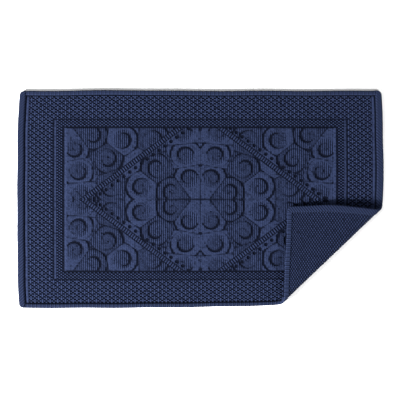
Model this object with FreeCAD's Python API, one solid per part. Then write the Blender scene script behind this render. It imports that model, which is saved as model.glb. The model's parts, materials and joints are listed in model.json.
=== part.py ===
"""Bath mat of jacquard-woven cotton with one corner folded over, as separate cloths, hems and seam threads.

+X runs along the mat, +Y across it and +Z up. The origin is on the floor under the middle of the flat mat.
Every piece is drawn flat, cut along the lines where the corner folds, and turned to its place in the fold.
"""
import FreeCAD, Part
import math
import os

from FreeCAD import Placement, Rotation, Vector

# Finished mat
LENGTH = 1000.0
WIDTH = 600.0
CORNER_RADIUS = 12.0

# Cloths, from the floor up
BACK_CLOTH_THICKNESS = 1.2
WADDING_THICKNESS = 2.6
FACE_CLOTH_THICKNESS = 1.8

# Turned hems, and the groove beside each hem that its seam thread lies in
END_HEM_WIDTH = 19.0
SIDE_HEM_WIDTH = 13.0
HEM_THICKNESS = 7.0
HEM_EDGE_RADIUS = 2.6
SEAM_GROOVE_WIDTH = 1.2
SEAM_THREAD_THICKNESS = 3.2

# Folded corner: the fold line's direction from +X, and how far the roll's outside is from the mat's middle
FOLD_LINE_ANGLE = 43.7
FOLD_REACH = 359.0
FOLD_RADIUS = 11.0
FOLD_TURN = 184.8
FOLD_STRIPS = 3
FOLD_CLEARANCE = 0.15

# How far the cutting bands reach past the mat, sideways and up and down
BAND_REACH = 700.0
BAND_MARGIN = 1.0

BODY_THICKNESS = BACK_CLOTH_THICKNESS + WADDING_THICKNESS + FACE_CLOTH_THICKNESS
MIDDLE_HEIGHT = BODY_THICKNESS / 2
STEP_ANGLE = FOLD_TURN / (FOLD_STRIPS + 1)
HALF_STEP_SLOPE = math.tan(math.radians(STEP_ANGLE / 2))
STRIP_LENGTH = 2 * FOLD_RADIUS * HALF_STEP_SLOPE
FIRST_HINGE = FOLD_REACH - BODY_THICKNESS / 2 - FOLD_RADIUS + FOLD_RADIUS * HALF_STEP_SLOPE

ALONG_FOLD = Rotation(Vector(0, 0, 1), FOLD_LINE_ANGLE).multVec(Vector(1, 0, 0))
ACROSS_FOLD = ALONG_FOLD.cross(Vector(0, 0, 1))


def slab(half_length, half_width, bottom, top):
    """Plain plate centred on the mat."""
    return Part.makeBox(
        2 * half_length, 2 * half_width, top - bottom, Vector(-half_length, -half_width, bottom)
    )


def strip_x(x_low, x_high, bottom, top):
    """Plate across the mat's whole width, between two places along its length."""
    return Part.makeBox(x_high - x_low, WIDTH, top - bottom, Vector(x_low, -WIDTH / 2, bottom))


def strip_y(y_low, y_high, half_length, bottom, top):
    """Plate along the mat, between two places across its width."""
    return Part.makeBox(2 * half_length, y_high - y_low, top - bottom, Vector(-half_length, y_low, bottom))


def rounded_outline():
    """Solid of the whole finished mat at hem height, with rounded corners and soft outer edges."""
    blank = slab(LENGTH / 2, WIDTH / 2, 0, HEM_THICKNESS)
    upright = [edge for edge in blank.Edges if abs(edge.tangentAt(edge.FirstParameter).z) > 0.5]
    blank = blank.makeFillet(CORNER_RADIUS, upright)
    rim = [edge for edge in blank.Edges if edge.BoundBox.ZLength < HEM_EDGE_RADIUS]
    return blank.makeFillet(HEM_EDGE_RADIUS, rim)


def cloth_layers():
    """Back cloth, filler wefts and face cloth, each a flat sheet on top of the one before."""
    seam_x = LENGTH / 2 - END_HEM_WIDTH
    seam_y = WIDTH / 2 - SIDE_HEM_WIDTH
    inner_x = seam_x - SEAM_GROOVE_WIDTH
    inner_y = seam_y - SEAM_GROOVE_WIDTH
    wadding_top = BACK_CLOTH_THICKNESS + WADDING_THICKNESS
    return {
        "back_cloth": slab(seam_x, seam_y, 0, BACK_CLOTH_THICKNESS),
        "wadding": slab(inner_x, inner_y, BACK_CLOTH_THICKNESS, wadding_top),
        "face_cloth": slab(inner_x, inner_y, wadding_top, BODY_THICKNESS),
    }


def end_hems(outline):
    """The hem turned over at each end of the mat, with its seam thread along the inner edge."""
    pieces = {}
    outer = LENGTH / 2
    seam = outer - END_HEM_WIDTH
    inner = seam - SEAM_GROOVE_WIDTH
    thread_top = BACK_CLOTH_THICKNESS + SEAM_THREAD_THICKNESS
    for side, sign in (("left", -1), ("right", 1)):
        hem_low, hem_high = sorted((sign * seam, sign * outer))
        thread_low, thread_high = sorted((sign * inner, sign * seam))
        hem = strip_x(hem_low, hem_high, 0, HEM_THICKNESS)
        thread = strip_x(thread_low, thread_high, BACK_CLOTH_THICKNESS, thread_top)
        pieces[side + "_end_hem"] = outline.common(hem)
        pieces[side + "_end_seam_thread"] = outline.common(thread)
    return pieces


def side_hems(outline):
    """The hem turned over along each side, between the end hems, with its seam thread."""
    pieces = {}
    outer = WIDTH / 2
    seam = outer - SIDE_HEM_WIDTH
    inner = seam - SEAM_GROOVE_WIDTH
    half_length = LENGTH / 2 - END_HEM_WIDTH - SEAM_GROOVE_WIDTH
    thread_top = BACK_CLOTH_THICKNESS + SEAM_THREAD_THICKNESS
    for side, sign in (("rear", 1), ("front", -1)):
        hem_low, hem_high = sorted((sign * seam, sign * outer))
        thread_low, thread_high = sorted((sign * inner, sign * seam))
        hem = strip_y(hem_low, hem_high, half_length, 0, HEM_THICKNESS)
        pieces[side + "_side_hem"] = outline.common(hem)
        pieces[side + "_side_seam_thread"] = strip_y(
            thread_low, thread_high, half_length, BACK_CLOTH_THICKNESS, thread_top
        )
    return pieces


def flat_pieces():
    """Every piece of the mat before the corner is folded."""
    outline = rounded_outline()
    return {**cloth_layers(), **end_hems(outline), **side_hems(outline)}


def hinge_distance(number):
    """How far fold hinge `number`, counted from 0, is from the mat's middle while the mat is flat."""
    return FIRST_HINGE + number * STRIP_LENGTH


def band(start, end):
    """Solid that cuts out what lies between two fold lines.

    Under the middle height its sides are upright. Over it they lean in by half a fold step, so that
    neighbours meet face to face when folded and still clear each other when flat.
    """
    low = -BAND_MARGIN
    high = HEM_THICKNESS + BAND_MARGIN
    lean = (high - MIDDLE_HEIGHT) * HALF_STEP_SLOPE
    section = [
        (start, low),
        (end, low),
        (end, MIDDLE_HEIGHT),
        (end - lean, high),
        (start + lean, high),
        (start, MIDDLE_HEIGHT),
    ]
    corners = [ACROSS_FOLD * across + ALONG_FOLD * -BAND_REACH + Vector(0, 0, z) for across, z in section]
    wire = Part.makePolygon(corners + corners[:1])
    return Part.Face(wire).extrude(ALONG_FOLD * (2 * BAND_REACH))


def bodies():
    """Name, cutting band and number of hinges that come before it, for each rigid length of the mat."""
    first = hinge_distance(0) - FOLD_CLEARANCE
    last = hinge_distance(FOLD_STRIPS) + FOLD_CLEARANCE
    yield "", band(-BAND_REACH, first), 0
    for number in range(1, FOLD_STRIPS + 1):
        start = hinge_distance(number - 1) + FOLD_CLEARANCE
        end = hinge_distance(number) - FOLD_CLEARANCE
        yield f"fold_{number}_", band(start, end), number
    yield "corner_", band(last, BAND_REACH), FOLD_STRIPS + 1


def folded_place(hinges):
    """Placement that carries a flat piece round the first `hinges` fold hinges."""
    place = Placement()
    step = Rotation(ALONG_FOLD, -STEP_ANGLE)
    for number in range(hinges):
        centre = ACROSS_FOLD * hinge_distance(number) + Vector(0, 0, MIDDLE_HEIGHT)
        place = place.multiply(Placement(Vector(), step, centre))
    return place


def main():
    os.makedirs("parts", exist_ok=True)
    pieces = flat_pieces()
    for prefix, cutter, hinges in bodies():
        place = folded_place(hinges)
        for name, shape in pieces.items():
            cut = shape.common(cutter)
            if cut.Volume > 0:
                cut.Placement = place.multiply(cut.Placement)
                cut.exportStep(f"parts/{prefix}{name}.step")


main()
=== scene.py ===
"""Looks of the woven cotton bath mat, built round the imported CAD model.

Every cloth is drawn flat, in millimetres, with its woven relief. It is then drawn in a little at the edges,
cut along the lines where the corner bends, bent round the fold, and given to the CAD body that carries it.
"""
import json
import math

import bmesh
import bpy
import numpy as np
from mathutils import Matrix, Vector

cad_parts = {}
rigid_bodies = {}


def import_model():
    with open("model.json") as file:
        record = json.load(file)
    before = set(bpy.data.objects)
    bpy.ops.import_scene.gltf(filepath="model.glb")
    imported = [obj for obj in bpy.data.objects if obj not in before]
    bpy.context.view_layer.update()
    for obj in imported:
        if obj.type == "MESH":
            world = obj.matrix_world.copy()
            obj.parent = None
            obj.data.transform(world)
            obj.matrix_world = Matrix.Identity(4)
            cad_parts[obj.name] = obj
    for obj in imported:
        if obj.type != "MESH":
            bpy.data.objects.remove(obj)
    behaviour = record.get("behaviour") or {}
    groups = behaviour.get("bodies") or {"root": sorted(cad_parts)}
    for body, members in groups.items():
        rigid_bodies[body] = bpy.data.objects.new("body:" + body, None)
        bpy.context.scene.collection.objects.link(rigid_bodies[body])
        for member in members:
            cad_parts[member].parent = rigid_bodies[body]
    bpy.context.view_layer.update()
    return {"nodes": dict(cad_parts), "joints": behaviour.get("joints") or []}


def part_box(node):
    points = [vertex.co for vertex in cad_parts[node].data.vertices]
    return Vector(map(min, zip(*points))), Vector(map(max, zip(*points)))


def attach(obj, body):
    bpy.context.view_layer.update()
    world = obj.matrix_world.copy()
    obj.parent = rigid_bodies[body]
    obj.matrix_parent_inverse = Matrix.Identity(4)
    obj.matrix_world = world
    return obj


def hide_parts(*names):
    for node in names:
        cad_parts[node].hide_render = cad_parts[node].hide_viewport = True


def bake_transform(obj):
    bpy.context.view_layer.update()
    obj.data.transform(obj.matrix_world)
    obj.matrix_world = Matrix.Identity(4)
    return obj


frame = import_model()
MM = 0.001

# ---------------------------------------------------------------------------------------------- sizes, in mm
HALF_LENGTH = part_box("left_end_hem")[0].x / -MM
HALF_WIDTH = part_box("rear_side_hem")[1].y / MM
SEAM_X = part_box("left_end_hem")[1].x / -MM
SEAM_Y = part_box("rear_side_hem")[0].y / MM
HEM_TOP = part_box("left_end_hem")[1].z / MM
FACE_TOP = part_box("face_cloth")[1].z / MM

RIB = 5.3            # a raised rib and the gap beside it
PICK = 3.9           # one float along a rib
STEP_X = RIB / 4     # the mesh's grid
STEP_Y = PICK / 3
BACK_STEP = 2        # the underside that lies on the floor has a grid this many times coarser
STEPPED = 0.55       # how far the motif's lines keep to whole floats, as a jacquard loom draws them
NUDGE = 1e-6         # keeps a grid point that lies on a cell's edge in the cell after it

PANEL_X, PANEL_Y = 373.0, 197.5      # half sizes of the raised panel inside the border
RIM_X = 364.0                        # the plain rim at the panel's ends starts here
FINE_X, FINE_Y = 400.5, 219.0        # outside of the fine band
PLAIN_STRIP = 7.0                    # the fine band's outer part is plain
COARSE_X, COARSE_Y = 470.0, 284.0    # outside of the coarse band
CORNER_RADIUS = 12.0

GROOVE_BOTTOM = 2.4  # height of the face cloth in its deepest grooves
BACK_PIT = 1.7       # height of the underside between its floats
BACK_RELIEF = 1.25   # how far its floats stand out below that
FACE_TUCK = 1.4      # the face runs this far under the hems
BACK_TUCK = 1.0      # and the underside this far
FLOAT_SPREAD = 0.13  # how unevenly high the floats stand, as a share of their height
LEAST_SHEET = 0.01


# -------------------------------------------------------------------------------------------------- the fold
class Fold:
    """The bend at the corner, worked out from the CAD hinges: a round turn between two flat lengths."""

    def __init__(self, joints):
        hinges = [Vector(joint["pos_m"]) / MM for joint in joints]
        step = math.radians(joints[0]["range_deg"][1])
        along = Vector(joints[0]["axis"])
        across = along.cross(Vector((0, 0, 1)))
        spacing = (hinges[1] - hinges[0]).length
        tangent = spacing / 2
        self.count = len(joints)
        self.along = np.array(along)
        self.across = np.array(across)
        self.middle = hinges[0].z
        self.radius = tangent / math.tan(step / 2)
        self.start = hinges[0].dot(across) - tangent
        self.length = spacing * self.count
        self.turn = step * self.count

    def reach(self, points):
        """How far across the fold each flat point is."""
        return points[:, 0] * self.across[0] + points[:, 1] * self.across[1]

    def lines(self):
        """The places across the fold where one bent length ends and the next starts."""
        return [self.start + self.length * k / self.count for k in range(self.count + 1)]

    def bend(self, points):
        """Flat points carried round the fold."""
        far = self.reach(points)
        sideways = points[:, 0] * self.along[0] + points[:, 1] * self.along[1]
        angle = np.clip((far - self.start) / self.length, 0, 1) * self.turn
        past = np.maximum(far - self.start - self.length, 0)
        before = np.minimum(far, self.start)
        arm = self.radius - (points[:, 2] - self.middle)
        across = before + arm * np.sin(angle) + past * np.cos(angle)
        height = self.middle + self.radius - arm * np.cos(angle) + past * np.sin(angle)
        return np.column_stack(
            [
                across * self.across[0] + sideways * self.along[0],
                across * self.across[1] + sideways * self.along[1],
                height,
            ]
        )


fold = Fold(frame["joints"])


# ----------------------------------------------------------------------------------- small helpers on arrays
def smooth(t):
    """0 below 0, 1 above 1 and a soft rise between."""
    t = np.clip(t, 0, 1)
    return t * t * (3 - 2 * t)


def bump(x, centre, width):
    """1 at the centre, falling away softly on both sides."""
    return np.exp(-(((x - centre) / width) ** 2))


# ----------------------------------------------------------------------------------------- the panel's motif
# A plain ornament made up for this model: rings of lobes round a middle, each with one spiral groove.
LOBE_RINGS = (1, 2, 3)          # ring k has 4 (k + 1) lobes, so k + 1 in each quarter
LOBE_SPACING = 62.0             # from ring to ring, along y
LOBE_STRETCH = 1.35             # the rings are wider than they are high
SCROLL_PITCH = 21.0             # between a spiral's turns
SCROLL_EYE = 5.0                # the spiral starts this far from the lobe's middle
SCROLL_THIN = -2.0              # the groove's half width on the lobe's inner side; below 0 it fades out
SCROLL_SWELL = 3.9              # how much wider it is on the outer side
SEAM_HALF_WIDTH = -0.8          # of the grooves that part the lobes
AXIS_HALF_WIDTH = 0.6           # of the grooves on the two axes, at the middle
AXIS_TAPER = 0.012              # how fast they get narrower
FLAT_FROM, FLAT_RISE = 23.0, 4.0  # every second lobe is flat ground outside this radius

DIAMOND_DISTANCE = 190.0        # the diamond band's middle line, from the panel's middle
DIAMOND_NORMAL = math.radians(53.4)
DIAMOND_HALF_WIDTH = 7.0
HATCH_PITCH = 7.2
TOOTH_PITCH = 20.0
TOOTH_OFFSET = 15.5             # from the band's middle line
TOOTH_RADIUS = 4.6


def lobe_middles():
    """Middles of the lobes in the first quarter, with the side to which each one's spiral turns."""
    middles = []
    for ring in LOBE_RINGS:
        for k in range(ring + 1):
            angle = math.pi / 2 * (k + 0.5) / (ring + 1)
            reach = ring * LOBE_SPACING
            side = 1 - 2 * ((ring + k) % 2)
            middles.append((LOBE_STRETCH * reach * math.cos(angle), reach * math.sin(angle), side))
    return np.array(middles)


def lobe_motif(x, y):
    """Distance from the nearest groove, and flat ground, for places in the first quarter round a middle."""
    lobes = lobe_middles()
    away = np.hypot(x[..., None] - lobes[:, 0], y[..., None] - lobes[:, 1])
    first, second = np.moveaxis(np.sort(away, axis=-1)[..., :2], -1, 0)
    cx, cy, side = np.moveaxis(lobes[away.argmin(-1)], -1, 0)
    turn = np.arctan2(y - cy, x - cx) - np.arctan2(cy, cx)
    turns = first / SCROLL_PITCH - side * turn / (2 * np.pi)
    half_width = SCROLL_THIN + SCROLL_SWELL * (0.5 + 0.5 * np.cos(turn))
    scroll = np.abs(turns - np.round(turns)) * SCROLL_PITCH - half_width
    scroll = np.where(first > SCROLL_EYE, scroll, SCROLL_EYE)
    seam = (second - first) / 2 - SEAM_HALF_WIDTH
    axis = np.minimum(x, y) - AXIS_HALF_WIDTH + AXIS_TAPER * np.hypot(x, y)
    flat = smooth((first - FLAT_FROM) / FLAT_RISE) * (side > 0)
    return np.minimum(np.minimum(scroll, seam), axis), flat


def quarter_maps(xs, ys):
    """Groove distance and flat ground over one quarter of the panel.

    Past the diamond band the motif comes again, with its middle at the panel's corner.
    """
    x, y = np.meshgrid(xs, ys, indexing="ij")
    beyond = x * math.cos(DIAMOND_NORMAL) + y * math.sin(DIAMOND_NORMAL) > DIAMOND_DISTANCE
    return lobe_motif(np.abs(np.where(beyond, PANEL_X - x, x)), np.abs(np.where(beyond, PANEL_Y - y, y)))


def diamond_band(x, y):
    """Distance from the diamond band's edge, its hatching, and distance from its row of round teeth."""
    nx, ny = math.cos(DIAMOND_NORMAL), math.sin(DIAMOND_NORMAL)
    off = np.abs(x) * nx + np.abs(y) * ny - DIAMOND_DISTANCE
    along = np.abs(y) * nx - np.abs(x) * ny
    clear = np.abs(off) - DIAMOND_HALF_WIDTH
    hatch = np.abs(np.sin(np.pi * along / HATCH_PITCH))
    outward = np.where(x > 0, 1.0, -1.0)
    tooth_along = (along / TOOTH_PITCH) % 1 - 0.5
    tooth = np.hypot(off - outward * TOOTH_OFFSET, tooth_along * TOOTH_PITCH) - TOOTH_RADIUS
    return clear, hatch, tooth


# ---------------------------------------------------------------------------------------------- woven relief
# Heights are shares of the way from the deepest groove to the highest float. Widths are in mm.
VALLEY_FLOOR = 0.16
VALLEY_START, VALLEY_RISE = 0.5, 3.4    # a groove's side starts this far inside its edge and is this wide
PILLOW_EDGE, PILLOW_ROUND = 0.66, 8     # the ground beside a groove, and over what distance it swells
RIBBED_BASE, RIB_SHARE, FLOAT_SHARE = 0.18, 0.66, 0.14
LEVEL_BASE, LEVEL_SHARE = 0.46, 0.14    # on flat ground, ribs and floats add the same
RIB_SHARPNESS = 1.7
BAND_BASE, BAND_RELIEF, HATCH_SHARPNESS = 0.06, 0.66, 1.2
BAND_EDGE_DEPTH, BAND_EDGE_WIDTH = 0.75, 1.6  # the thin groove along each side of the diamond band
TOOTH_DEPTH = 0.92
COARSE_BASE, FINE_BASE, FINE_PIT = 0.38, 0.36, 0.10
BACK_BASE = 0.35
FLAT_TOP = 0.4                          # the arch's power for a float with a broad top
EDGE_GROOVES = (                        # outside edge in x and y, half width and depth
    (PANEL_X, PANEL_Y, 2.4, 0.75),
    (FINE_X, FINE_Y, 1.6, 0.75),
    (COARSE_X, math.inf, 0.9, 0.55),    # at the mat's two ends only
)
SEAM_SINK, SEAM_RISE = 0.8, 3.6         # the face dips to the hems' seams over this width


def cells(x, y):
    """Column, row and place within the cell of the weave's grid."""
    i, j = np.floor(x / RIB + NUDGE), np.floor(y / PICK + NUDGE)
    return i, j, x / RIB - i, y / PICK - j


def arch(t, power):
    """Rounded top over 0 to 1."""
    return np.maximum(np.sin(np.pi * np.clip(t, 0, 1)), 0) ** power


def grain(fx, fy, power=0.6):
    """Rounded top of one float."""
    return arch(fx, power) * arch(fy, power)


def strip(fx, fy, base, by_row, by_column):
    """Height of a plain strip, with a rounded top to each row and each column of the weave."""
    return base + by_row * arch(fy, 1) + by_column * arch(fx, 1)


def uneven(x, y):
    """Share of its height that each float keeps: every float is pressed down by its own small amount."""
    draw = np.random.default_rng(3)
    i, j, _, _ = cells(x, y)
    i, j = i.astype(int), j.astype(int)
    table = draw.normal(0, FLOAT_SPREAD, (i.max() - i.min() + 1, j.max() - j.min() + 1))
    return 1 - np.abs(table[i - i.min(), j - j.min()])


def panel_height(x, y, clear, plain):
    """Ribbed pillows between sunk grooves, flat ground, and the hatched diamond band."""
    i, _, fx, _ = cells(x, y)
    rib = arch(fx, RIB_SHARPNESS)
    pick = np.abs(np.sin(np.pi * (y / PICK + 0.5 * (i % 2))))
    valley = VALLEY_FLOOR + (1 - VALLEY_FLOOR) * smooth((clear + VALLEY_START) / VALLEY_RISE)
    swell = 1 - np.exp(-np.maximum(clear, 0) / PILLOW_ROUND)
    pillow = valley * (PILLOW_EDGE + (1 - PILLOW_EDGE) * swell)
    ribbed = pillow * (RIBBED_BASE + RIB_SHARE * rib + FLOAT_SHARE * pick)
    level_ground = valley * (LEVEL_BASE + LEVEL_SHARE * rib + LEVEL_SHARE * pick)
    height = ribbed + (level_ground - ribbed) * plain
    band, hatch, tooth = diamond_band(x, y)
    inside = smooth((1.2 - band) / 2.4)
    edge = 1 - BAND_EDGE_DEPTH * np.exp(-((band / BAND_EDGE_WIDTH) ** 2))
    banded = (BAND_BASE + BAND_RELIEF * hatch**HATCH_SHARPNESS) * edge
    height = height * smooth(band / 3.0 + 0.5) * (1 - inside) + banded * inside
    height *= 1 - TOOTH_DEPTH * smooth((1.0 - tooth) / 2.0)
    return height


def coarse_height(x, y):
    """Broken diamond twill: pits where two sets of slanting lines run."""
    i, j, fx, fy = cells(x, y)
    sunk = ((i + j) % 4 == 0) | ((i - j) % 4 == 0)
    return np.where(sunk, 0.0, COARSE_BASE + (1 - COARSE_BASE) * grain(fx, fy, FLAT_TOP))


def fine_height(x, y):
    """Every second cell sunk, and a plain strip outside."""
    i, j, fx, fy = cells(x, y)
    sunk = (i + j) % 2 == 0
    pit = FINE_PIT * (1 - grain(fx, fy))
    top = FINE_BASE + (1 - FINE_BASE) * grain(fx, fy, FLAT_TOP)
    plain = strip(fx, fy, 0.40, 0.28, 0.10)
    return np.where(np.abs(x) > FINE_X - PLAIN_STRIP, plain, np.where(sunk, pit, top))


def panel_maps(xs, ys):
    """Groove distance and flat ground over the whole face, mirrored from one quarter.

    The grooves keep partly to whole floats.
    """
    quarter_x, quarter_y = xs[xs >= -NUDGE], ys[ys >= -NUDGE]
    clear, plain = quarter_maps(quarter_x, quarter_y)
    column = np.floor(quarter_x / RIB + NUDGE).astype(int)
    row = np.floor(quarter_y / PICK + NUDGE).astype(int)
    middle_x, middle_y = RIB * (np.arange(column[-1] + 1) + 0.5), PICK * (np.arange(row[-1] + 1) + 0.5)
    by_float, _ = quarter_maps(middle_x, middle_y)
    clear = (1 - STEPPED) * clear + STEPPED * by_float[np.ix_(column, row)]
    mirrored = np.ix_(np.rint(np.abs(xs) / STEP_X).astype(int), np.rint(np.abs(ys) / STEP_Y).astype(int))
    return clear[mirrored], plain[mirrored]


def face_relief(xs, ys):
    """Height of the face cloth, from 0 in the deepest groove to 1 on the highest float."""
    x, y = np.meshgrid(xs, ys, indexing="ij")
    ax, ay = np.abs(x), np.abs(y)
    _, _, fx, fy = cells(x, y)
    panel = np.where(ax > RIM_X, strip(fx, fy, 0.50, 0.26, 0.10), panel_height(x, y, *panel_maps(xs, ys)))
    edges = ((PANEL_X, PANEL_Y), (FINE_X, FINE_Y), (COARSE_X, COARSE_Y))
    bands = [(ax < edge_x) & (ay < edge_y) for edge_x, edge_y in edges]
    heights = [panel, fine_height(x, y), coarse_height(x, y)]
    height = np.select(bands, heights, strip(fx, fy, 0.50, 0.26, 0.05))
    for edge_x, edge_y, half_width, depth in EDGE_GROOVES:
        height *= 1 - depth * bump(np.maximum(ax - edge_x, ay - edge_y), 0, half_width)
    height *= uneven(x, y)
    seam = np.minimum(SEAM_X - SEAM_SINK - ax, SEAM_Y - SEAM_SINK - ay)
    return height * smooth(seam / SEAM_RISE)


# ----------------------------------------------------------------------------------------- flat cloth pieces
class Cloth:
    """A flat mesh in millimetres. `place` is where a point is in the weave, and how high its float is."""

    def __init__(self, points, faces, place):
        self.points = points
        self.faces = faces
        self.place = place

    def within(self, low_x, high_x, low_y, high_y):
        """The part whose faces have their middle in a rectangle."""
        x, y, _ = self.points[self.faces].mean(1).T
        keep = (x > low_x) & (x < high_x) & (y > low_y) & (y < high_y)
        return Cloth(self.points, self.faces[keep], self.place)


def grid_faces(columns, rows, closed=False):
    """Quads of a grid of points held column by column. A closed grid joins its last row to its first."""
    numbers = np.arange(columns * rows).reshape(columns, rows)
    if closed:
        numbers = np.hstack([numbers, numbers[:, :1]])
    return np.stack(
        [numbers[:-1, :-1], numbers[1:, :-1], numbers[1:, 1:], numbers[:-1, 1:]], axis=-1
    ).reshape(-1, 4)


def surface(x, y, z, along, beside, relief, faces):
    """Cloth from grids of points, of places in the weave and of float heights."""
    points = np.column_stack([x.ravel(), y.ravel(), z.ravel()])
    place = np.column_stack([along.ravel() * MM, beside.ravel() * MM, relief.ravel()])
    return Cloth(points, faces, place)


def even_steps(half, step):
    """Whole steps on both sides of 0, as far as they go within the half width."""
    count = int(half / step)
    return step * np.arange(-count, count + 1)


def face_cloth():
    """The woven face, from seam to seam."""
    xs, ys = even_steps(SEAM_X + FACE_TUCK, STEP_X), even_steps(SEAM_Y + FACE_TUCK, STEP_Y)
    relief = face_relief(xs, ys)
    x, y = np.meshgrid(xs, ys, indexing="ij")
    z = GROOVE_BOTTOM + (FACE_TOP - GROOVE_BOTTOM) * relief
    return surface(x, y, z, x, y, relief, grid_faces(len(xs), len(ys)))


def back_cloth(step):
    """The plain basket-woven underside. Its floats stand out downwards."""
    xs, ys = even_steps(SEAM_X + BACK_TUCK, STEP_X * step), even_steps(SEAM_Y + BACK_TUCK, STEP_Y * step)
    x, y = np.meshgrid(xs, ys, indexing="ij")
    i, j, fx, fy = cells(x, y)
    over = (i + j) % 2 == 0
    top = BACK_BASE + (1 - BACK_BASE) * grain(fx, fy)
    pit = BACK_BASE * (1 - grain(fx, fy))
    relief = np.where(over, top, pit) * uneven(x, y)
    z = BACK_PIT - BACK_RELIEF * relief
    return surface(x, y, z, x, y, relief, grid_faces(len(xs), len(ys))[:, ::-1])


HEM_NOSE = 3.4            # the hem's rounded outer edge reaches this far in
HEM_FALL = 4.4            # its inner edge drops by this much to the face
HEM_FALL_SHARE = 0.28     # over this share of its width
HEM_STEP = 1.2            # between the section's points on flat stretches
END_HEM_STEP = 1.3        # between sections along an end hem
LAP_TOP = 0.9             # what is lower belongs to the lap on the underside
TWILL_PITCH, TWILL_SLANT = 8.0, 0.9
TWILL_LIFT, LAP_LIFT, SIDE_RIB_LIFT = 0.42, 0.12, 0.55
END_ROUND = 3.0           # an end hem thins to its two ends over this length


def hem_section(top_width, back_width):
    """Closed outline of a turned hem: how far in from the mat's edge, and how high."""
    fall = HEM_FALL_SHARE * top_width
    half = HEM_TOP / 2
    turn = np.radians(np.linspace(-90, -270, 11))
    nose = [(HEM_NOSE + HEM_NOSE * math.cos(a), half + half * math.sin(a)) for a in turn]
    top = [(d, HEM_TOP) for d in np.arange(HEM_NOSE + HEM_STEP, top_width - fall - 0.6, HEM_STEP)]
    quarter = np.radians(np.linspace(0, 90, 6))
    shoulder = [
        (top_width - fall * (1 - math.sin(a)), HEM_TOP - HEM_FALL * (1 - math.cos(a))) for a in quarter
    ]
    inside = [(top_width, 2.1), (top_width + 0.5, 1.6)]
    lap = [(back_width - 0.6, 1.3), (back_width, 0.7), (back_width - 0.5, 0.1)]
    bottom = [(d, 0.0) for d in np.arange(back_width - 1.6, HEM_NOSE + 0.6, -HEM_STEP)]
    section = np.array(nose + top + shoulder + inside + lap + bottom)
    ahead, behind = np.roll(section, -1, 0), np.roll(section, 1, 0)
    run = ahead - behind
    normal = np.column_stack([-run[:, 1], run[:, 0]])
    normal /= np.linalg.norm(normal, axis=1)[:, None]
    return section, normal


def sweep(section, normal, along):
    """Grids of a hem: how far in, how high, the section's normal in both, and the place along the hem."""
    columns = [section[:, 0], section[:, 1], normal[:, 0], normal[:, 1]]
    return [np.tile(column, (len(along), 1)) for column in columns] + [np.tile(along[:, None], len(section))]


def end_hem(side, top_width, back_width):
    """The hem at one end, with slanting twill lines. Its ends are rounded off at the mat's corners."""
    section, normal = hem_section(top_width, back_width)
    along = np.linspace(-HALF_WIDTH, HALF_WIDTH, int(2 * HALF_WIDTH / END_HEM_STEP) + 1)
    d, z, nd, nz, y = sweep(section, normal, along)
    under = z < LAP_TOP
    twill = np.sin(2 * np.pi * (y - TWILL_SLANT * d) / TWILL_PITCH)
    fine = np.sin(2 * np.pi * (y + 0.25 * d) / PICK)
    relief = 0.5 + 0.34 * twill + 0.16 * fine
    lift = np.where(under, LAP_LIFT, TWILL_LIFT) * (relief - 1)
    d, z = d - nd * lift, z - nz * lift
    to_end = HALF_WIDTH - np.abs(y)
    round_run = np.maximum(CORNER_RADIUS - to_end, 0)
    cut_back = CORNER_RADIUS - np.sqrt(np.maximum(CORNER_RADIUS**2 - round_run**2, 0))
    d = cut_back + d * (top_width - cut_back) / top_width
    thin = np.sqrt(np.clip(1 - np.maximum(1 - to_end / END_ROUND, 0) ** 2, 0.02, 1))
    z = HEM_TOP / 2 + (z - HEM_TOP / 2) * thin
    # painted shade: the colour of the hem's inner side darkens the lower it drops towards the face, in the
    # crease by the seam
    relief *= np.where(under | (d < top_width / 2), 1, smooth((z - 1.5) / 5))
    faces = grid_faces(len(along), len(section), closed=True)
    return surface(side * (HALF_LENGTH - d), y, z, d, y, relief, faces if side > 0 else faces[:, ::-1])


def side_hem(side, top_width, back_width):
    """The hem along one side, ribbed across."""
    section, normal = hem_section(top_width, back_width)
    along = even_steps(SEAM_X + 1.0, STEP_X)
    d, z, nd, nz, x = sweep(section, normal, along)
    rib = np.abs(np.sin(np.pi * x / RIB)) ** 0.7
    pair = 0.5 + 0.5 * np.sin(np.pi * x / RIB + 0.6)
    relief = 0.66 * rib + 0.34 * pair
    lift = SIDE_RIB_LIFT * (relief - 1)
    d, z = d - nd * lift, z - nz * lift
    # painted shade: the colour of the hem's inner side darkens the lower it drops towards the face, in the
    # crease by the seam
    relief *= np.where((z < LAP_TOP) | (d < top_width / 2), 1, smooth((z - 1.0) / 5))
    faces = grid_faces(len(along), len(section), closed=True)
    return surface(x, side * (HALF_WIDTH - d), z, x, d, relief, faces[:, ::-1] if side > 0 else faces)


STITCH_PITCH = 4.2
STITCH_LENGTH = 3.3
STITCH_RADIUS = 0.5
STITCH_DIP = 0.25         # a stitch's ends go this far into the cloth
STITCH_TILT = 0.08        # spread of the stitches' directions, in radians
STITCH_LEVEL = 0.6        # thread counts as this high a float, which sets how much painted pit shade and crest light its colour gets
CLOTH_MIDDLE = 2          # rows above this height face up, and rows below it face down


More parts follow.
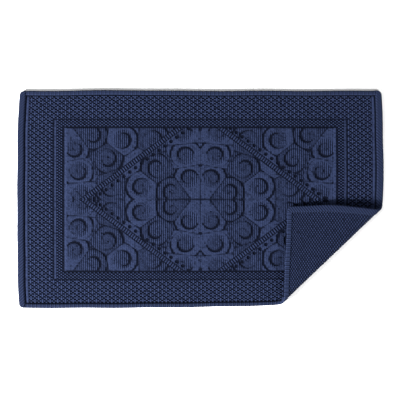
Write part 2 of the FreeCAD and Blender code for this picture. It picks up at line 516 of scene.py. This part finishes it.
def stitch_row(centres, direction, seed):
    """One short bar of thread with rounded ends at each centre."""
    draw = np.random.default_rng(seed)
    t = np.linspace(-1, 1, 7)
    girth = np.sqrt(np.clip(1 - np.abs(t) ** 3, 0.03, 1))
    turn = np.linspace(0, 2 * np.pi, 8, endpoint=False)
    a, b = np.meshgrid(t, turn, indexing="ij")
    thick = STITCH_RADIUS * girth[:, None]
    body = np.stack(
        [a * STITCH_LENGTH / 2, thick * np.cos(b), thick * np.sin(b) - STITCH_DIP * a * a], axis=-1
    ).reshape(-1, 3)
    faces = grid_faces(len(t), len(turn), closed=True)
    tilts = draw.normal(0, STITCH_TILT, len(centres))
    along = np.array(direction, float)
    beside = np.array([-along[1], along[0]])
    points, all_faces = [], []
    for n, (centre, tilt) in enumerate(zip(centres, tilts)):
        lengthwise = body[:, 0] * math.cos(tilt) - body[:, 1] * math.sin(tilt)
        sideways = body[:, 0] * math.sin(tilt) + body[:, 1] * math.cos(tilt)
        flat = np.outer(lengthwise, along) + np.outer(sideways, beside) + centre[:2]
        facing = math.copysign(1, centre[2] - CLOTH_MIDDLE)
        points.append(np.column_stack([flat, body[:, 2] * facing + centre[2]]))
        all_faces.append(faces + n * len(body))
    points = np.vstack(points)
    place = np.column_stack([points[:, :2] * MM, np.full(len(points), STITCH_LEVEL)])
    return Cloth(points, np.vstack(all_faces), place)


# ----------------------------------------------------------------- the mat's natural outline and its cutting
CORNER_REACH = 110.0      # how far from its ends an end hem starts to come in
REAR_LEFT_IN, FRONT_LEFT_IN, RIGHT_IN = 7.5, 4.0, 5.0
REAR_IN, FRONT_IN, FRONT_RIGHT_IN = 4.6, 3.0, 9.0


def settle(points):
    """Draws the edges in a little, as washing and hemming do. The corners come in most."""
    x, y = points[:, 0], points[:, 1]
    far_x, far_y = np.abs(x) / HALF_LENGTH, np.abs(y) / HALF_WIDTH
    corner = np.maximum(np.abs(y) - HALF_WIDTH + CORNER_REACH, 0) / CORNER_REACH
    left = 1.2 * smooth(np.abs(y) / 220) + np.where(y > 0, REAR_LEFT_IN, FRONT_LEFT_IN) * corner**1.6
    right = RIGHT_IN * far_y**1.3 + 1.5 * corner**2
    right += 4.0 * bump(y, -25, 45) - 6.0 * bump(y, -170, 80)   # a hollow where the fold starts, then a swell
    rear = REAR_IN - 2.0 * bump(x, -220, 110) - 2.2 * bump(x, 488, 9) + 0.5 * np.sin(x / 37.0)
    front = FRONT_IN + FRONT_RIGHT_IN * np.clip((x + 500) / 740, 0, 1) ** 3 + 0.5 * np.sin(x / 29.0)
    inset_x = np.where(x < 0, -left, right) + 0.35 * np.sin(y / 21.0)
    inset_y = np.where(y > 0, rear, -front)
    return np.column_stack([x - inset_x * far_x**5, y - inset_y * far_y**5, points[:, 2]])


def zones():
    """Name, bodies and the two cutting lines of each length across the fold."""
    bodies = [frame["joints"][0]["parent"]] + [joint["child"] for joint in frame["joints"]]
    lines = fold.lines()
    yield "mat", (bodies[0],), -math.inf, lines[0]
    for k in range(fold.count):
        yield f"bend_{k + 1}", (bodies[k], bodies[k + 1]), lines[k], lines[k + 1]
    yield "corner", (bodies[-1],), lines[-1], math.inf


def cut(mesh, low, high):
    """Cuts a flat mesh at the fold's lines and keeps what is between them."""
    bm = bmesh.new()
    bm.from_mesh(mesh)
    normal = Vector(fold.across)
    for line, clear_outer in ((low, False), (high, True)):
        if math.isinf(line):
            continue
        crossing = set()
        for face in bm.faces:
            sides = [v.co.x * normal.x + v.co.y * normal.y > line for v in face.verts]
            if any(sides) and not all(sides):
                crossing.add(face)
        edges = {edge for face in crossing for edge in face.edges}
        verts = {vert for face in crossing for vert in face.verts}
        geometry = list(verts) + list(edges) + list(crossing)
        bmesh.ops.bisect_plane(
            bm, geom=geometry, dist=1e-4, plane_co=normal * line, plane_no=normal,
            clear_outer=clear_outer, clear_inner=not clear_outer,
        )
    bm.to_mesh(mesh)
    bm.free()


def flat_mesh(name, cloth, low, high):
    """Mesh of the part of a cloth between two fold lines, still flat, or None where there is none."""
    points = settle(cloth.points)
    across = fold.reach(points)[cloth.faces]
    keep = (across.max(1) > low + 1e-3) & (across.min(1) < high - 1e-3)
    if not keep.any():
        return None
    used, faces = np.unique(cloth.faces[keep], return_inverse=True)
    faces = faces.reshape(-1, 4)
    mesh = bpy.data.meshes.new(name)
    mesh.vertices.add(len(used))
    mesh.vertices.foreach_set("co", points[used].astype(np.float32).ravel())
    mesh.loops.add(faces.size)
    mesh.loops.foreach_set("vertex_index", faces.astype(np.int32).ravel())
    mesh.polygons.add(len(faces))
    mesh.polygons.foreach_set("loop_start", np.arange(0, faces.size, 4, dtype=np.int32))
    mesh.update(calc_edges=True)
    place = mesh.attributes.new("place", "FLOAT_VECTOR", "POINT")
    place.data.foreach_set("vector", cloth.place[used].astype(np.float32).ravel())
    if across[keep].min() < low or across[keep].max() > high:
        cut(mesh, low, high)
    return mesh


def mesh_points(mesh):
    """Places of a mesh's points, one to a row."""
    points = np.empty(len(mesh.vertices) * 3, np.float32)
    mesh.vertices.foreach_get("co", points)
    return points.reshape(-1, 3).astype(float)


def put(name, cloth, zone, material, replaces=()):
    """Makes one piece of cloth in one zone: flat, cut, bent round the fold, and carried by its bodies."""
    _, bodies, low, high = zone
    mesh = flat_mesh(name, cloth, low, high)
    if mesh is None:
        return None
    points = mesh_points(mesh)
    straight = low == -math.inf
    span = points[:, :2] if straight else points @ np.column_stack([fold.across, fold.along])
    size = np.maximum((span.max(0) - span.min(0)) * MM, LEAST_SHEET)
    area = seen_area(mesh, points)
    mesh.vertices.foreach_set("co", (fold.bend(points) * MM).astype(np.float32).ravel())
    mesh.polygons.foreach_set("use_smooth", np.ones(len(mesh.polygons), bool))
    mesh.materials.append(material)
    mesh.update()
    piece = bpy.data.objects.new(name, mesh)
    bpy.context.scene.collection.objects.link(piece)
    if len(bodies) == 1:
        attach(piece, bodies[0])
    else:
        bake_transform(piece)
    nodes = [node for node in replaces if node in frame["nodes"]]
    if nodes:
        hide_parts(*nodes)
    piece["flat_width"], piece["flat_length"], piece["flat_area"] = float(size[0]), float(size[1]), area
    return piece


def seen_area(mesh, points):
    """Area of a flat mesh seen from above, in square metres."""
    mesh.calc_loop_triangles()
    triangles = np.empty(len(mesh.loop_triangles) * 3, np.int32)
    mesh.loop_triangles.foreach_get("vertices", triangles)
    a, b, c = (points[triangles.reshape(-1, 3)[:, k], :2] for k in range(3))
    return float(np.abs(np.cross(b - a, c - a)).sum() / 2 * MM * MM)


# ------------------------------------------------------------------------------------------------- materials
# Scales are per metre of cloth.
PIT_LEVEL, CREST_LEVEL = 0.16, 0.92     # floats this low get the full painted shade of the pits, and this high the painted light of the crests
DYE_SCALE, DYE_SPREAD = 9.0, 0.16       # uneven dye
YARN_SCALE = (1 / RIB / MM, 40.0, 0.0)  # each yarn has its own shade, which changes slowly along it
FIBRE_SCALE = (900.0, 1500.0, 0.0)
FLECK = 0.25                            # how much lighter a fleck of fibre is
LINT_SCALE, LINT_SHARE = 420.0, 0.35    # pale lint on the crests
FUZZ_SCALE = 1400.0
PLY_HEIGHT, FUZZ_HEIGHT = 0.35, 1.3     # shares of the bump's depth
BUMP_DEPTH = 0.0004                     # metres


class Nodes:
    """Short ways to add and join shader nodes."""

    def __init__(self, name):
        self.material = bpy.data.materials.new(name)
        self.material.use_nodes = True
        self.tree = self.material.node_tree
        self.shader = self.tree.nodes["Principled BSDF"]

    def set(self, socket, value):
        if isinstance(value, bpy.types.NodeSocket):
            self.tree.links.new(value, socket)
        else:
            socket.default_value = value

    def math(self, operation, a, b=0.0):
        node = self.tree.nodes.new("ShaderNodeMath")
        node.operation = operation
        self.set(node.inputs[0], a)
        self.set(node.inputs[1], b)
        return node.outputs[0]

    def place(self):
        """Where a point is in the weave (metres), and how high its float is."""
        node = self.tree.nodes.new("ShaderNodeAttribute")
        node.attribute_type, node.attribute_name = "GEOMETRY", "place"
        split = self.tree.nodes.new("ShaderNodeSeparateXYZ")
        self.set(split.inputs[0], node.outputs["Vector"])
        return node.outputs["Vector"], split.outputs[0], split.outputs[1], split.outputs[2]

    def noise(self, vector, scale, detail=2.0, roughness=0.5):
        node = self.tree.nodes.new("ShaderNodeTexNoise")
        self.set(node.inputs["Vector"], vector)
        node.inputs["Scale"].default_value = scale
        node.inputs["Detail"].default_value = detail
        node.inputs["Roughness"].default_value = roughness
        return node.outputs["Fac"]

    def stretch(self, vector, scale):
        node = self.tree.nodes.new("ShaderNodeMapping")
        node.inputs["Scale"].default_value = scale
        self.set(node.inputs["Vector"], vector)
        return node.outputs[0]

    def mix(self, share, a, b, blend="MIX"):
        node = self.tree.nodes.new("ShaderNodeMix")
        node.data_type, node.blend_type = "RGBA", blend
        self.set(node.inputs["Factor"], share)
        self.set(node.inputs["A"], a)
        self.set(node.inputs["B"], b)
        return node.outputs["Result"]

    def remap(self, value, low, high, to_low, to_high):
        node = self.tree.nodes.new("ShaderNodeMapRange")
        node.interpolation_type = "SMOOTHSTEP"
        self.set(node.inputs["Value"], value)
        for socket, number in zip(("From Min", "From Max", "To Min", "To Max"), (low, high, to_low, to_high)):
            node.inputs[socket].default_value = number
        return node.outputs["Result"]


def dyed(n, vector, level, fibre, painted_pit_shade, high):
    """Cotton's colour: darker towards the pits as painted shade, paler on the crests as painted light, with
    uneven dye, flecks and lint.
    """
    # painted shade and light: by float height alone, the colour runs from the painted pit shade in low places
    # to the paler crest colour on high floats
    painted_light_share = n.remap(level, PIT_LEVEL, CREST_LEVEL, 0.0, 1.0)
    colour = n.mix(painted_light_share, (*painted_pit_shade, 1), (*high, 1))
    dye = n.noise(vector, DYE_SCALE, 3.0)
    yarn = n.noise(n.stretch(vector, YARN_SCALE), 1.0, 1.0)
    patches = n.math("ADD", n.math("MULTIPLY", dye, DYE_SPREAD), n.math("MULTIPLY", yarn, DYE_SPREAD * 0.8))
    brightness = n.math("ADD", patches, 1 - DYE_SPREAD * 0.9)
    flecks = n.remap(fibre, 0.42, 0.78, 1 - FLECK * 0.5, 1 + FLECK)
    shade = n.math("MULTIPLY", brightness, flecks)
    grey = n.tree.nodes.new("ShaderNodeCombineColor")
    for socket in grey.inputs:
        n.set(socket, shade)
    colour = n.mix(1.0, colour, grey.outputs[0], "MULTIPLY")
    lint = n.remap(n.noise(vector, LINT_SCALE, 2.0, 0.6), 0.66, 0.80, 0.0, LINT_SHARE)
    lint_colour = (high[0] * 1.9, high[1] * 1.75, high[2] * 1.5, 1)
    return n.mix(n.math("MULTIPLY", lint, painted_light_share), colour, lint_colour)


def yarn_relief(n, vector, x, y, twist_x, twist_y, strength):
    """Fine bump of the yarn's twist and its fuzz."""
    around_x = n.math("MULTIPLY", x, 2 * math.pi * twist_x)
    around_y = n.math("MULTIPLY", y, 2 * math.pi * twist_y)
    ply = n.math("SINE", n.math("ADD", around_x, around_y))
    fuzz = n.noise(vector, FUZZ_SCALE, 3.0, 0.65)
    height = n.math("ADD", n.math("MULTIPLY", ply, PLY_HEIGHT), n.math("MULTIPLY", fuzz, FUZZ_HEIGHT))
    relief = n.tree.nodes.new("ShaderNodeBump")
    relief.inputs["Strength"].default_value = strength
    relief.inputs["Distance"].default_value = BUMP_DEPTH
    n.set(relief.inputs["Height"], height)
    return relief.outputs[0]


def cotton(name, painted_pit_shade, high, twist_x, twist_y, twist_strength=0.5):
    """Dyed cotton. twist_x and twist_y are the yarn's twist lines per metre along and across the piece."""
    n = Nodes(name)
    vector, x, y, level = n.place()
    fibre = n.noise(n.stretch(vector, FIBRE_SCALE), 1.0, 2.0, 0.7)
    n.set(n.shader.inputs["Base Color"], dyed(n, vector, level, fibre, painted_pit_shade, high))
    n.set(n.shader.inputs["Roughness"], n.remap(fibre, 0.3, 0.7, 0.82, 0.96))
    n.shader.inputs["Specular IOR Level"].default_value = 0.05
    n.shader.inputs["Sheen Weight"].default_value = 0.02
    n.shader.inputs["Sheen Roughness"].default_value = 0.45
    n.shader.inputs["Sheen Tint"].default_value = (0.45, 0.55, 0.85, 1)
    n.set(n.shader.inputs["Normal"], yarn_relief(n, vector, x, y, twist_x, twist_y, twist_strength))
    return n.material


def floor_paper():
    """Matt white sheet with a faint grain."""
    n = Nodes("floor_paper")
    where = n.tree.nodes.new("ShaderNodeTexCoord").outputs["Object"]
    grain_noise = n.noise(where, 30.0, 2.0)
    n.set(n.shader.inputs["Base Color"], n.mix(grain_noise, (0.86, 0.86, 0.86, 1), (0.88, 0.88, 0.88, 1)))
    n.shader.inputs["Roughness"].default_value = 0.9
    n.shader.inputs["Specular IOR Level"].default_value = 0.1
    return n.material


# each cloth's first colour is painted shade for its pits, and the second its colour on the crests, paled by
# painted light
FACE = cotton("face_cotton_navy", (0.0006, 0.0014, 0.0058), (0.0210, 0.0308, 0.0740), 260, 620)
BACK = cotton("back_cotton_navy", (0.0006, 0.0015, 0.0056), (0.0180, 0.0262, 0.0655), 300, 560)
END_HEM = cotton("end_hem_cotton_navy", (0.0014, 0.0027, 0.0082), (0.0165, 0.0242, 0.0590), 380, 420, 0.4)
SIDE_HEM = cotton("side_hem_cotton_navy", (0.0013, 0.0027, 0.0090), (0.0140, 0.0208, 0.0500), 560, 260)
THREAD = cotton("seam_thread_navy", (0.0013, 0.0023, 0.0068), (0.0060, 0.0095, 0.0235), 1400, 300, 0.6)


# ------------------------------------------------------------------------------------------------ the pieces
END_HEM_WIDTH = HALF_LENGTH - SEAM_X
SIDE_HEM_WIDTH = HALF_WIDTH - SEAM_Y
END_LAP, SIDE_LAP = 18.0, 15.0  # widths of the hems on the underside
BEYOND = 1e4                    # past every edge
STITCH_ROWS = (                 # name, height, and how far in from the edge at the ends and the sides
    ("top", 4.2, END_HEM_WIDTH + 0.9, SIDE_HEM_WIDTH + 0.9),
    ("under", 0.9, END_LAP + 0.7, SIDE_LAP + 0.7),
)
FIRST_SEED = 10                 # of the stitches' tilts: four seeds to a row


def stands_for(zone, part):
    """CAD nodes of one part that a zone's piece stands for. Those by the last bend go to its neighbours."""
    name, bodies = zone[:2]
    body = bodies[-1]
    if len(bodies) > 1 and body == frame["joints"][-1]["child"]:
        return []
    node = part if name == "mat" else f"{body}_{part}"
    return [node] if node in frame["nodes"] else []


def face_parts():
    """The limits of the face's pieces on the flat mat, cut between floats."""
    panel_x = RIB * round(PANEL_X / RIB)
    panel_y = PICK * round(PANEL_Y / PICK)
    return {
        "panel_left": (-panel_x, 0, -panel_y, panel_y),
        "panel_right": (0, panel_x, -panel_y, panel_y),
        "border_left": (-BEYOND, -panel_x, -BEYOND, BEYOND),
        "border_right": (panel_x, BEYOND, -BEYOND, BEYOND),
        "border_rear": (-panel_x, panel_x, panel_y, BEYOND),
        "border_front": (-panel_x, panel_x, -BEYOND, -panel_y),
    }


def hems():
    """Cloth, material and slot of each hem."""
    return {
        "left_end_hem": (end_hem(-1, END_HEM_WIDTH, END_LAP), END_HEM, "end_hem_cotton"),
        "right_end_hem": (end_hem(1, END_HEM_WIDTH, END_LAP), END_HEM, "end_hem_cotton"),
        "rear_side_hem": (side_hem(1, SIDE_HEM_WIDTH, SIDE_LAP), SIDE_HEM, "side_hem_cotton"),
        "front_side_hem": (side_hem(-1, SIDE_HEM_WIDTH, SIDE_LAP), SIDE_HEM, "side_hem_cotton"),
    }


def seam_stitches():
    """Rows of stitches beside each hem, above and below, by the thread and the row."""
    ys = np.arange(-SEAM_Y + 3, SEAM_Y - 2, STITCH_PITCH)
    xs = np.arange(-SEAM_X + 3, SEAM_X - 2, STITCH_PITCH)
    rows = {}
    seed = FIRST_SEED
    for row, height, end_in, side_in in STITCH_ROWS:
        for end, side in (("left", -1), ("right", 1)):
            centres = np.column_stack(
                [np.full(len(ys), side * (HALF_LENGTH - end_in)), ys, np.full(len(ys), height)]
            )
            rows[f"{end}_end_seam_thread", row] = stitch_row(centres, (0, 1), seed)
            seed += 1
        for edge, side in (("rear", 1), ("front", -1)):
            centres = np.column_stack(
                [xs, np.full(len(xs), side * (HALF_WIDTH - side_in)), np.full(len(xs), height)]
            )
            rows[f"{edge}_side_seam_thread", row] = stitch_row(centres, (1, 0), seed)
            seed += 1
    return rows


def dress():
    """Makes every piece of the mat, zone by zone."""
    face, back, back_on_floor = face_cloth(), back_cloth(1), back_cloth(BACK_STEP)
    bars, stitches = hems(), seam_stitches()
    for zone in zones():
        where = zone[0]
        flat = where == "mat"
        bar_pieces = []
        for part, (cloth, material, slot) in bars.items():
            name = f"{part}_{where}_cloth"
            bar_pieces.append(put(name, cloth, zone, material, stands_for(zone, part)))
        for (part, row), cloth in stitches.items():
            name = f"{part}_{where}_{row}_stitches"
            nodes = stands_for(zone, part) if row == "top" else []
            bar_pieces.append(put(name, cloth, zone, THREAD, nodes))
        bar_pieces = [piece for piece in bar_pieces if piece]
        under_cloth = back_on_floor if flat else back
        back_nodes = stands_for(zone, "back_cloth")
        under = put(f"underside_{where}", under_cloth, zone, BACK, back_nodes)
        face_nodes = stands_for(zone, "face_cloth") + stands_for(zone, "wadding")
        if flat:
            for name, limits in face_parts().items():
                piece = put(name, face.within(*limits), zone, FACE, face_nodes)
        else:
            piece = put(f"face_{where}", face, zone, FACE, face_nodes)


dress()


# ----------------------------------------------------------------------- floor, lights and camera, in metres
FLOOR_SIZE, FLOOR_DROP = 12, 0.0004     # the floor lies just under the cloth's lowest floats
FRAME_WIDTH = 1.090                     # what the camera sees across, at the mat's top
CAMERA_X, CAMERA_Y = -0.0014, -0.0022
LENS, SENSOR = 85.0, 36.0               # in mm
ROOM_LIGHT = 0.44


def add_floor():
    """A white floor, which is staging and no part of the mat."""
    bpy.ops.mesh.primitive_plane_add(size=FLOOR_SIZE, location=(0, 0, -FLOOR_DROP))
    floor = bpy.context.object
    floor.name = "floor"
    floor.data.materials.append(floor_paper())


def add_light(name, place, size, power):
    """Soft white square light, turned to the middle of the mat."""
    data = bpy.data.lights.new(name, "AREA")
    data.shape, data.size, data.energy = "SQUARE", size, power
    light = bpy.data.objects.new(name, data)
    light.location = place
    light.rotation_euler = (-Vector(place)).to_track_quat("-Z", "Y").to_euler()
    light.visible_camera = False
    bpy.context.scene.collection.objects.link(light)


def add_camera():
    """Looks straight down through a long lens."""
    data = bpy.data.cameras.new("camera")
    data.lens, data.sensor_width = LENS, SENSOR
    data.clip_end = 50
    camera = bpy.data.objects.new("camera", data)
    camera.location = (CAMERA_X, CAMERA_Y, FRAME_WIDTH * LENS / SENSOR + FACE_TOP * MM)
    bpy.context.scene.collection.objects.link(camera)
    bpy.context.scene.camera = camera


def add_room():
    """Even white light from all round."""
    world = bpy.data.worlds.new("room")
    world.use_nodes = True
    background = world.node_tree.nodes["Background"]
    background.inputs["Color"].default_value = (1, 1, 1, 1)
    background.inputs["Strength"].default_value = ROOM_LIGHT
    bpy.context.scene.world = world


add_floor()
add_light("key", (-3.1, -1.75, 1.45), 0.7, 830)
add_light("fill", (2.6, -2.3, 2.2), 1.6, 190)
add_light("rear", (-1.6, 2.2, 2.0), 1.2, 24)
add_room()
bpy.context.scene.view_settings.view_transform = "Standard"
add_camera()
